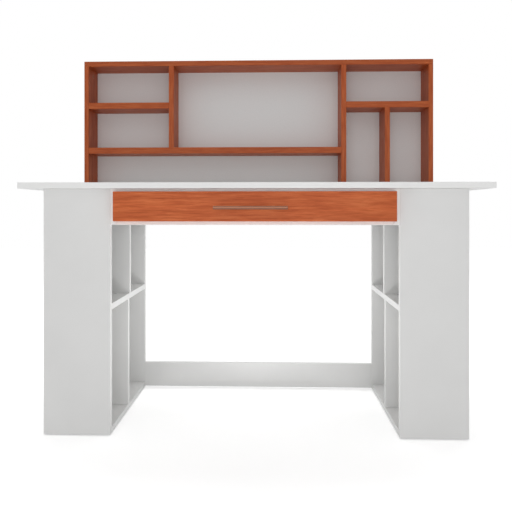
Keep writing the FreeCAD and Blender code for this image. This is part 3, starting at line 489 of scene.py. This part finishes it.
    way = add(tree, "GeometryNodeInputNamedAttribute", {"Name": "direction"}, data_type="FLOAT_VECTOR")
    aim = add(tree, "FunctionNodeAlignRotationToVector", {"Vector": way.outputs[0]}, axis="Z")
    turn = add(tree, "FunctionNodeRandomValue", {
        RANDOM_LOW: 0.0, RANDOM_HIGH: math.tau, "Seed": given["Seed"]}, data_type="FLOAT")
    spin = add(tree, "FunctionNodeAxisAngleToRotation", {
        "Axis": AXES["Z"], "Angle": turn.outputs[RANDOM_NUMBER]})
    aimed = add(tree, "FunctionNodeRotateRotation", {
        0: aim.outputs[0], 1: spin.outputs[0]}, rotation_space="LOCAL")
    set_on_points(tree, given, result, whole.outputs[0], aimed.outputs[0])
    return tree


def channel_tree():
    """A slide member: sheet steel bent to a channel round two rounded bends, with punched slots in its web.

    Its point is the middle of the web's outer face, and its direction is the one in which the flanges reach.
    """
    tree, given, result = new_tree("Roll-formed channel", (
        ("Height", "Float"), ("Reach", "Float"), ("Length", "Float"), ("Sheet", "Float"),
        ("Bend Radius", "Float"), ("Slots", "Int"), ("Slot Length", "Float"), ("Slot Width", "Float"),
        ("Slot Margin", "Float"), ("Material", "Material"),
    ))

    def closed(sheet, offset, scale):
        """The sheet, pushed along the offset or else its normals, with its first face as the other side."""
        inputs = {"Mesh": sheet, "Offset Scale": scale, "Individual": False}
        if offset:
            inputs["Offset"] = offset
        pushed = add(tree, "GeometryNodeExtrudeMesh", inputs, mode="FACES")
        other = add(tree, "GeometryNodeFlipFaces", {"Mesh": sheet})
        both = add(tree, "GeometryNodeJoinGeometry")
        for side in (pushed, other):
            tree.links.new(side.outputs[0], both.inputs[0])
        merged = add(tree, "GeometryNodeMergeByDistance", {"Geometry": both.outputs[0], "Distance": WELD})
        return merged.outputs[0]

    # The section's four corners, numbered from 0: flange end, bend, bend, flange end.
    far_end = add(tree, "ShaderNodeMath", {0: given["Length"], 1: -0.5}, operation="MULTIPLY")
    half_height = add(tree, "ShaderNodeMath", {0: given["Height"], 1: 0.5}, operation="MULTIPLY")
    number = add(tree, "GeometryNodeInputIndex")
    centred = add(tree, "ShaderNodeMath", {0: number.outputs[0], 1: 1.5}, operation="SUBTRACT")
    upper = add(tree, "ShaderNodeMath", {0: centred.outputs[0]}, operation="SIGN")
    distance = add(tree, "ShaderNodeMath", {0: centred.outputs[0]}, operation="ABSOLUTE")
    on_end = add(tree, "ShaderNodeMath", {0: distance.outputs[0], 1: 1.0}, operation="GREATER_THAN")
    reach = add(tree, "ShaderNodeMath", {0: on_end.outputs[0], 1: given["Reach"]}, operation="MULTIPLY")
    height = add(tree, "ShaderNodeMath", {
        0: upper.outputs[0], 1: half_height.outputs[0]}, operation="MULTIPLY")
    corner = add(tree, "ShaderNodeCombineXYZ", {
        "X": reach.outputs[0], "Y": far_end.outputs[0], "Z": height.outputs[0]})
    line = add(tree, "GeometryNodeCurvePrimitiveLine")
    four = add(tree, "GeometryNodeResampleCurve", {"Curve": line.outputs[0], "Count": 4}, mode="COUNT")
    section = add(tree, "GeometryNodeSetPosition", {
        "Geometry": four.outputs[0], "Position": corner.outputs[0]})
    bent = add(tree, "GeometryNodeFilletCurve", {
        "Curve": section.outputs[0], "Count": BEND_STEPS, "Radius": given["Bend Radius"]}, mode="POLY")
    edges = add(tree, "GeometryNodeCurveToMesh", {"Curve": bent.outputs[0]})
    run = add(tree, "ShaderNodeCombineXYZ", {"Y": given["Length"]})
    rolled = add(tree, "GeometryNodeExtrudeMesh", {
        "Mesh": edges.outputs[0], "Offset": run.outputs[0]}, mode="EDGES")
    member = closed(rolled.outputs[0], None, given["Sheet"])

    end_radius = add(tree, "ShaderNodeMath", {0: given["Slot Width"], 1: SLOT_ROUNDING}, operation="MULTIPLY")
    oblong = add(tree, "GeometryNodeCurvePrimitiveQuadrilateral", {
        "Width": given["Slot Length"], "Height": given["Slot Width"]}, mode="RECTANGLE")
    rounded = add(tree, "GeometryNodeFilletCurve", {
        "Curve": oblong.outputs[0], "Count": BEND_STEPS, "Radius": end_radius.outputs[0]}, mode="POLY")
    face = add(tree, "GeometryNodeFillCurve", {"Curve": rounded.outputs[0]}, mode="NGONS")
    punch_length = add(tree, "ShaderNodeMath", {0: given["Sheet"], 1: PUNCH_LENGTH}, operation="MULTIPLY")
    punch = closed(face.outputs[0], AXES["Z"], punch_length.outputs[0])
    before = add(tree, "ShaderNodeMath", {0: given["Sheet"], 1: PUNCH_START}, operation="MULTIPLY")
    first_y = add(tree, "ShaderNodeMath", {0: far_end.outputs[0], 1: given["Slot Margin"]}, operation="ADD")
    last_y = add(tree, "ShaderNodeMath", {0: first_y.outputs[0], 1: -1.0}, operation="MULTIPLY")
    first = add(tree, "ShaderNodeCombineXYZ", {"X": before.outputs[0], "Y": first_y.outputs[0]})
    last = add(tree, "ShaderNodeCombineXYZ", {"X": before.outputs[0], "Y": last_y.outputs[0]})
    row = add(tree, "GeometryNodeMeshLine", {
        "Count": given["Slots"], "Start Location": first.outputs[0], "Offset": last.outputs[0]},
        mode="END_POINTS", count_mode="TOTAL")
    # A quarter turn about X and then Z lays the slot along the member and aims the punch through the web.
    punches = add(tree, "GeometryNodeInstanceOnPoints", {
        "Points": row.outputs[0], "Instance": punch, "Rotation": (math.pi / 2, 0, math.pi / 2)})
    cutters = add(tree, "GeometryNodeRealizeInstances", {"Geometry": punches.outputs[0]})
    punched = add(tree, "GeometryNodeMeshBoolean", {
        "Mesh 1": member, "Mesh 2": cutters.outputs[0]}, operation="DIFFERENCE", solver="EXACT")

    way = add(tree, "GeometryNodeInputNamedAttribute", {"Name": "direction"}, data_type="FLOAT_VECTOR")
    aim = add(tree, "FunctionNodeAlignRotationToVector", {
        "Vector": way.outputs[0]}, axis="X", pivot_axis="Z")
    set_on_points(tree, given, result, punched.outputs[0], aim.outputs[0])
    return tree


def grow(piece, tree, values):
    """Runs the tree on the piece with these input values, and leaves the result as a plain mesh."""
    modifier = piece.modifiers.new(tree.name, "NODES")
    modifier.node_group = tree
    for socket in tree.interface.items_tree:
        if socket.in_out == "INPUT" and socket.name in values:
            modifier[socket.identifier] = values[socket.name]
    bpy.context.view_layer.update()
    evaluated = piece.evaluated_get(bpy.context.evaluated_depsgraph_get())
    made = bpy.data.meshes.new_from_object(evaluated)
    piece.modifiers.remove(modifier)
    piece.data = made
    if not made.polygons:
        raise RuntimeError(f"{piece.name} came out empty")
    return piece


def turned_pieces(node, body, name, axis=None, **values):
    """Grows the fasteners that stand for a CAD group, with the sizes of its solids and the values given."""
    turned = [Turned(points, axis) for points in solids_of(node)]
    sample = turned[0]
    places = [fastener.head for fastener in turned]
    tree = bpy.data.node_groups.get("Turned fastener") or turned_fastener_tree()
    piece = grow(points_object(name, places, [fastener.direction for fastener in turned]), tree, {
        "Head Radius": sample.head_radius,
        "Head Height": sample.head_height,
        "Shank Radius": sample.shank_radius,
        "Length": sample.length,
        "Point Length": 2 * sample.shank_radius,
        "Recess Depth": RECESS_SHARE * sample.head_height,
        **{socket.replace("_", " "): value for socket, value in values.items()},
    })
    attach(piece, body)
    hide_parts(node)
    return piece


class DeskFinishes(bpy.types.PropertyGroup):
    """Colours of the desk's materials."""

    white: bpy.props.FloatVectorProperty(
        name="White film", description="Face of the white boards",
        default=linear("#EBEBEA"), subtype="COLOR", **RGBA)
    white_band: bpy.props.FloatVectorProperty(
        name="White edge band", description="Edges of the pedestals' and drawer's boards",
        default=linear("#EBEBEA"), subtype="COLOR", **RGBA)
    # Painted light: a lighter copy of the same edge band, for the desktop's edge and the case's shaded
    # strips.
    painted_light_band: bpy.props.FloatVectorProperty(
        name="Edge band with painted light", description="Edges of the desktop and of the drawer's case",
        default=linear("#FAFAF9"), subtype="COLOR", **RGBA)
    hardboard: bpy.props.FloatVectorProperty(
        name="Hardboard", description="Hutch back and drawer bottom",
        default=linear("#E6E8E8"), subtype="COLOR", **RGBA)
    cherry_light: bpy.props.FloatVectorProperty(
        name="Cherry, light", description="Lightest streaks of the cherry print",
        default=linear("#D87440"), subtype="COLOR", **RGBA)
    cherry: bpy.props.FloatVectorProperty(
        name="Cherry", description="Ground colour of the cherry print",
        default=linear("#C96333"), subtype="COLOR", **RGBA)
    cherry_dark: bpy.props.FloatVectorProperty(
        name="Cherry, dark", description="Darkest streaks and pores of the cherry print",
        default=linear("#B25127"), subtype="COLOR", **RGBA)
    # Painted shade: the hutch's cherry film is darkened by this share against the drawer front's, though both
    # are the same print.
    hutch_painted_shade: bpy.props.FloatProperty(
        name="Hutch painted shade", description="Brightness of the hutch's film as a share of the drawer front's",
        default=0.76, min=0, max=1, subtype="FACTOR")
    # Painted reflection: the satin steel's colour is tinted brown with the cherry front that it mirrors.
    steel: bpy.props.FloatVectorProperty(
        name="Bronze-toned steel", description="Handle", default=linear("#8E6350"), subtype="COLOR", **RGBA)
    plating: bpy.props.FloatVectorProperty(
        name="Zinc plating", description="Screws, slides, cam bolts and the base's cam locks",
        default=linear("#B4B7BA"), subtype="COLOR", **RGBA)
    bronze: bpy.props.FloatVectorProperty(
        name="Bronzed zinc", description="Cam locks in the hutch",
        default=linear("#C07A52"), subtype="COLOR", **RGBA)
    beech: bpy.props.FloatVectorProperty(
        name="Beech", description="Dowels", default=linear("#D3B48C"), subtype="COLOR", **RGBA)
    glide: bpy.props.FloatVectorProperty(
        name="Glide plastic", description="Floor glides", default=linear("#DAD9D4"), subtype="COLOR", **RGBA)


class DeskFasteners(bpy.types.PropertyGroup):
    """Sizes of the fasteners' details; their places and main sizes come from the CAD."""

    thread_pitch: bpy.props.FloatProperty(
        name="Thread pitch", description="One turn of a screw's thread",
        default=2.4 * MM, min=0.5 * MM, unit="LENGTH")
    thread_depth: bpy.props.FloatProperty(
        name="Thread depth", description="Depth of a screw's thread", default=0.4 * MM, min=0, unit="LENGTH")
    recess_width: bpy.props.FloatProperty(
        name="Cross recess", description="Width of a cross recess's arms",
        default=1.1 * MM, min=0.3 * MM, unit="LENGTH")
    socket_width: bpy.props.FloatProperty(
        name="Hexagon socket", description="Corner radius of a hexagon socket",
        default=2.3 * MM, min=0.3 * MM, unit="LENGTH")
    seed: bpy.props.IntProperty(name="Seed", description="Turns the screws' recesses", default=7)


class DeskSlides(bpy.types.PropertyGroup):
    """Details of the drawer slides' members; their places and outer sizes come from the CAD."""

    sheet: bpy.props.FloatProperty(
        name="Sheet", description="Thickness of the sheet steel",
        default=1.2 * MM, min=0.3 * MM, unit="LENGTH")
    bend_radius: bpy.props.FloatProperty(
        name="Bend", description="Outer radius of the bends", default=2.4 * MM, min=0.3 * MM, unit="LENGTH")
    slots: bpy.props.IntProperty(
        name="Slots", description="Punched slots in a member's web", default=6, min=2)
    slot_length: bpy.props.FloatProperty(
        name="Slot length", description="Length of a slot", default=18 * MM, min=2 * MM, unit="LENGTH")
    slot_width: bpy.props.FloatProperty(
        name="Slot width", description="Width of a slot", default=5 * MM, min=1 * MM, unit="LENGTH")
    slot_margin: bpy.props.FloatProperty(
        name="Slot margin",
        description="End of a member to the middle of its first slot, clear of the screws",
        default=62 * MM, min=0, unit="LENGTH")


class DeskStage(bpy.types.PropertyGroup):
    """Camera, light and floor."""

    camera_place: bpy.props.FloatVectorProperty(
        name="Camera", description="Camera's place", subtype="TRANSLATION", unit="LENGTH",
        default=(0.0506, -1.9645, 0.6711))
    camera_turn: bpy.props.FloatProperty(
        name="Turn", description="Camera's turn to the left", subtype="ANGLE", default=0.0325)
    lens: bpy.props.FloatProperty(
        name="Lens", description="Focal length in mm on a 36 mm sensor", default=41.73, min=1)
    lens_shift: bpy.props.FloatVectorProperty(
        name="Lens shift", description="Shift of the lens across and up, as a share of the frame", size=2,
        default=(0.0079, -0.0912))
    ambient: bpy.props.FloatProperty(
        name="Ambient light", description="Light from all around", default=0.47, min=0)
    key_power: bpy.props.FloatProperty(
        name="Key softbox", description="Power of the lamp above the camera",
        default=10.0, min=0, unit="POWER")
    fill_power: bpy.props.FloatProperty(
        name="Front fill", description="Power of the lamp behind the camera",
        default=27.0, min=0, unit="POWER")
    overhead_power: bpy.props.FloatProperty(
        name="Overhead softbox", description="Power of the lamp that lights the desktop and the hutch's top",
        default=24.0, min=0, unit="POWER")
    rear_power: bpy.props.FloatProperty(
        name="Rear softboxes", description="Power of each lamp that lights the sides and the back",
        default=16.0, min=0, unit="POWER")
    kneehole_power: bpy.props.FloatProperty(
        name="Kneehole lamp", description="Power of the lamp that lights the open pedestals",
        default=2.1, min=0, unit="POWER")
    near_floor_white: bpy.props.FloatProperty(
        name="Near floor's white", description="Share of white that the floor shows of itself by the desk",
        default=0.44, min=0, max=1, subtype="FACTOR")
    far_floor_white: bpy.props.FloatProperty(
        name="Far floor's white",
        description="Share of white that the floor shows of itself beyond the lamps' reach",
        default=0.62, min=0, max=1, subtype="FACTOR")


class DESK_OT_white_boards(bpy.types.Operator):
    """Dresses the white boards, each with its edge band on the faces round its thickness"""

    bl_idname = "desk.white_boards"
    bl_label = "White boards"

    def execute(self, context):
        finishes = context.scene.desk_finishes
        for name, groups, band in (
            ("White melamine board", WHITE_BOARDS, finishes.white_band),
            # This band carries painted light.
            ("White melamine board, light edge", PAINTED_LIGHT_EDGED_BOARDS, finishes.painted_light_band),
        ):
            for thick, boards in groups.items():
                material = white_melamine(finishes.white, band, name, thick)
                for board in boards:
                    dress(board, material)
        return {"FINISHED"}


class DESK_OT_cherry_boards(bpy.types.Operator):
    """Dresses the hutch and the drawer front in cherry-tone laminate, with the grain along each board, and
    darkens the hutch's with painted shade
    """

    bl_idname = "desk.cherry_boards"
    bl_label = "Cherry boards"

    def execute(self, context):
        finishes = context.scene.desk_finishes
        for grain, boards in CHERRY_BOARDS.items():
            # The hutch's copies carry painted shade; the drawer front's below has none.
            material = cherry_laminate(finishes, f"Cherry laminate {grain}", grain, finishes.hutch_painted_shade)
            for board in boards:
                dress(board, material)
        dress("drawer_front", cherry_laminate(finishes, "Cherry laminate drawer", grain="X", painted_shade_share=1.0))
        return {"FINISHED"}


class DESK_OT_hardboard_sheets(bpy.types.Operator):
    """Dresses the thin sheets: the hutch's back and the drawer's bottom"""

    bl_idname = "desk.hardboard_sheets"
    bl_label = "Hardboard sheets"

    def execute(self, context):
        material = lacquered_hardboard(context.scene.desk_finishes)
        for sheet in HARDBOARD_SHEETS:
            dress(sheet, material)
        return {"FINISHED"}


class DESK_OT_handle(bpy.types.Operator):
    """Dresses the handle's bar and posts in satin steel, brushed along their length, whose brown tone is a
    painted reflection of the cherry front
    """

    bl_idname = "desk.handle"
    bl_label = "Handle"

    def execute(self, context):
        # The steel's brown tone is a painted reflection of the cherry front.
        steel = context.scene.desk_finishes.steel
        # Brush lines are about 0.1 mm wide; they are drawn at 1 mm, so that they show from close by.
        for node, name, along, length_mm in (
            ("handle_bar", "Bronze-toned steel bar", "X", 60),
            ("handle_posts", "Bronze-toned steel post", "Y", 20),
        ):
            dress(node, brushed_metal(
                name, steel, roughness=0.34, along=along, line_mm=1, length_mm=length_mm))
        return {"FINISHED"}


class DESK_OT_slides(bpy.types.Operator):
    """Makes the drawer slides' members: plated channels with rounded bends and punched slots"""

    bl_idname = "desk.slides"
    bl_label = "Drawer slides"

    def execute(self, context):
        sizes = context.scene.desk_slides
        plating = cast_or_plated(
            "Zinc-plated sheet steel", context.scene.desk_finishes.plating, roughness=0.34, grain_mm=9)
        tree = channel_tree()
        for side, inwards in (("left", 1), ("right", -1)):
            for member, body, reaches_inwards in (
                ("cabinet", "desk", True),
                ("middle", f"{side}_runner", True),
                ("drawer", "drawer", False),
            ):
                node = f"{side}_slide_{member}"
                low, high = (Vector(corner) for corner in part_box(node))
                span = high - low
                way = inwards if reaches_inwards else -inwards
                web = (low + high) / 2
                web.x = low.x if way > 0 else high.x
                piece = grow(points_object(f"{side}_{member}_channel", [web], [(way, 0, 0)]), tree, {
                    "Height": span.z,
                    "Reach": span.x,
                    "Length": span.y,
                    "Sheet": sizes.sheet,
                    "Bend Radius": sizes.bend_radius,
                    "Slots": sizes.slots,
                    "Slot Length": sizes.slot_length,
                    "Slot Width": sizes.slot_width,
                    "Slot Margin": sizes.slot_margin,
                    "Material": plating,
                })
                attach(piece, body)
                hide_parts(node)
        return {"FINISHED"}


class DESK_OT_screws(bpy.types.Operator):
    """Makes the screws, with thread and driver's recess, where the CAD has them"""

    bl_idname = "desk.screws"
    bl_label = "Screws"

    def execute(self, context):
        sizes = context.scene.desk_fasteners
        plating = cast_or_plated(
            "Zinc-plated screw", context.scene.desk_finishes.plating, roughness=0.3, grain_mm=3)
        for node, body, name, sunk, hexagon in SCREW_GROUPS:
            piece = turned_pieces(
                node, body, name, Thread_Pitch=sizes.thread_pitch, Thread_Depth=sizes.thread_depth,
                Sunk_Head=sunk, Recess_Width=sizes.socket_width if hexagon else sizes.recess_width,
                Hexagon_Socket=hexagon, Seed=sizes.seed, Material=plating)
        return {"FINISHED"}


class DESK_OT_glides(bpy.types.Operator):
    """Makes the nail-on glides under the pedestals"""

    bl_idname = "desk.glides"
    bl_label = "Floor glides"

    def execute(self, context):
        plastic = moulded_plastic("Polypropylene glide", context.scene.desk_finishes.glide)
        # A glide has no thread and no recess; the pitch only sets the steps along it.
        piece = turned_pieces(
            "floor_glides", "desk", "nail_on_glides", axis=2, Thread_Pitch=2 * MM, Thread_Depth=0.0,
            Sunk_Head=False, Recess_Width=1 * MM, Recess_Depth=0.0, Hexagon_Socket=False,
            Seed=context.scene.desk_fasteners.seed, Material=plastic)
        return {"FINISHED"}


class DESK_OT_joints(bpy.types.Operator):
    """Dresses the hidden joints: dowels, cam locks and their bolts"""

    bl_idname = "desk.joints"
    bl_label = "Dowels and cam locks"

    def execute(self, context):
        finishes = context.scene.desk_finishes
        wood = beech(finishes)
        for node in DOWELS:
            dress(node, wood)
        for node, name, color in (
            ("base_cam_locks", "Die-cast zinc", finishes.plating),
            ("hutch_cam_locks", "Bronzed die-cast zinc", finishes.bronze),
        ):
            dress(node, cast_or_plated(name, color, roughness=0.45, grain_mm=4))
        plating = cast_or_plated("Zinc-plated bolt", finishes.plating, roughness=0.32, grain_mm=3)
        for node in CAM_BOLTS:
            dress(node, plating)
        return {"FINISHED"}


class DESK_OT_stage(bpy.types.Operator):
    """Sets a pale floor, soft light and the camera"""

    bl_idname = "desk.stage"
    bl_label = "Stage"

    def execute(self, context):
        scene = context.scene
        stage = scene.desk_stage
        scene.view_settings.view_transform = "Standard"
        self.light_world(scene, stage)
        self.lay_floor(scene, stage)
        for name, place, size, power in SOFTBOXES:
            softbox = self.hang_lamp(scene, name, place, size, getattr(stage, power))
            softbox.rotation_euler = (SOFTBOX_AIM - softbox.location).to_track_quat("-Z", "Y").to_euler()
        # It lies on the floor and shines up, as a white floor does: so the compartments darken downwards.
        kneehole_lamp = self.hang_lamp(
            scene, "Kneehole lamp", KNEEHOLE_LAMP_PLACE, KNEEHOLE_LAMP_SIZE, stage.kneehole_power)
        kneehole_lamp.rotation_euler = (math.pi, 0, 0)
        kneehole_lamp.visible_glossy = False
        self.set_camera(scene, stage)
        return {"FINISHED"}

    def light_world(self, scene, stage):
        """Even light from all round, which the camera and metal see as plain white."""
        world = bpy.data.worlds.new("Studio")
        world.use_nodes = True
        scene.world = world
        tree = world.node_tree
        seen = self.seen_directly(tree)
        strength = add(tree, "ShaderNodeMapRange", {"Value": seen, "To Min": stage.ambient, "To Max": 1.0})
        background = tree.nodes["Background"]
        background.inputs["Color"].default_value = (1, 1, 1, 1)
        tree.links.new(strength.outputs[0], background.inputs["Strength"])

    def lay_floor(self, scene, stage):
        """A pale floor that adds some white of its own to what is seen directly, and keeps the shadow.

        Its own white grows beyond the lamps' reach, so that the far floor is as white as the background.
        """
        mesh = bpy.data.meshes.new("Floor")
        low, high = -FLOOR_REACH, FLOOR_REACH
        mesh.from_pydata([(low, low, 0), (high, low, 0), (high, high, 0), (low, high, 0)], [], [(0, 1, 2, 3)])
        floor = bpy.data.objects.new("Floor", mesh)
        scene.collection.objects.link(floor)
        paper = bpy.data.materials.new("White floor paper")
        paper.use_nodes = True
        tree = paper.node_tree
        tree.nodes.remove(tree.nodes["Principled BSDF"])
        matt = add(tree, "ShaderNodeBsdfDiffuse", {"Color": linear("#F5F5F5")})
        place = add(tree, "ShaderNodeTexCoord").outputs["Object"]
        distance = add(tree, "ShaderNodeVectorMath", {0: place}, operation="LENGTH")
        white = add(tree, "ShaderNodeMapRange", {
            "Value": distance.outputs["Value"], "From Min": NEAR_FLOOR, "From Max": FAR_FLOOR,
            "To Min": stage.near_floor_white, "To Max": stage.far_floor_white,
        }, interpolation_type="SMOOTHSTEP")
        own = add(tree, "ShaderNodeMath", {
            0: self.seen_directly(tree), 1: white.outputs[0]}, operation="MULTIPLY")
        glow = add(tree, "ShaderNodeEmission", {"Strength": own.outputs[0]})
        both = add(tree, "ShaderNodeAddShader", {0: matt.outputs[0], 1: glow.outputs[0]})
        tree.links.new(both.outputs[0], tree.nodes["Material Output"].inputs["Surface"])
        mesh.materials.append(paper)

    def seen_directly(self, tree):
        """1 for rays from the camera, and for reflected and refracted ones."""
        path = add(tree, "ShaderNodeLightPath").outputs
        either = add(tree, "ShaderNodeMath", {
            0: path["Is Camera Ray"], 1: path["Is Glossy Ray"]}, operation="MAXIMUM")
        all_three = add(tree, "ShaderNodeMath", {
            0: either.outputs[0], 1: path["Is Transmission Ray"]}, operation="MAXIMUM")
        return all_three.outputs[0]

    def hang_lamp(self, scene, name, place, size, power):
        """A rectangular soft lamp that the camera doesn't see."""
        lamp = bpy.data.lights.new(name, "AREA")
        lamp.shape = "RECTANGLE"
        lamp.size, lamp.size_y = size
        lamp.energy = power
        softbox = bpy.data.objects.new(name, lamp)
        softbox.visible_camera = False
        softbox.location = place
        scene.collection.objects.link(softbox)
        return softbox

    def set_camera(self, scene, stage):
        """The level camera from which the desk is seen."""
        view = bpy.data.cameras.new("Camera")
        view.lens = stage.lens
        view.sensor_width = SENSOR_WIDTH
        view.shift_x, view.shift_y = stage.lens_shift
        camera = bpy.data.objects.new("Camera", view)
        camera.location = stage.camera_place
        camera.rotation_euler = (math.pi / 2, 0, stage.camera_turn)
        scene.collection.objects.link(camera)
        scene.camera = camera


class DESK_PT_sidebar(bpy.types.Panel):
    """The desk's settings and the steps that dress it"""

    bl_idname = "DESK_PT_sidebar"
    bl_label = "Student desk"
    bl_space_type = "VIEW_3D"
    bl_region_type = "UI"
    bl_category = "Desk"

    def draw(self, context):
        layout = self.layout
        for step in STEPS:
            layout.operator(step.bl_idname)
        for pointer, kind in SETTINGS.items():
            for name in kind.__annotations__:
                layout.prop(getattr(context.scene, pointer), name)


STEPS = (
    DESK_OT_white_boards,
    DESK_OT_cherry_boards,
    DESK_OT_hardboard_sheets,
    DESK_OT_handle,
    DESK_OT_slides,
    DESK_OT_screws,
    DESK_OT_glides,
    DESK_OT_joints,
    DESK_OT_stage,
)
SETTINGS = {
    "desk_finishes": DeskFinishes,
    "desk_fasteners": DeskFasteners,
    "desk_slides": DeskSlides,
    "desk_stage": DeskStage,
}


def register():
    for kind in (*SETTINGS.values(), *STEPS, DESK_PT_sidebar):
        bpy.utils.register_class(kind)
    for name, kind in SETTINGS.items():
        setattr(bpy.types.Scene, name, bpy.props.PointerProperty(type=kind))


def unregister():
    for name in SETTINGS:
        delattr(bpy.types.Scene, name)
    for kind in (DESK_PT_sidebar, *STEPS, *SETTINGS.values()):
        bpy.utils.unregister_class(kind)


def main():
    register()
    bpy.ops.desk.white_boards()
    bpy.ops.desk.cherry_boards()
    bpy.ops.desk.hardboard_sheets()
    bpy.ops.desk.handle()
    bpy.ops.desk.slides()
    bpy.ops.desk.screws()
    bpy.ops.desk.glides()
    bpy.ops.desk.joints()
    bpy.ops.desk.stage()


if __name__ == "__main__":
    main()
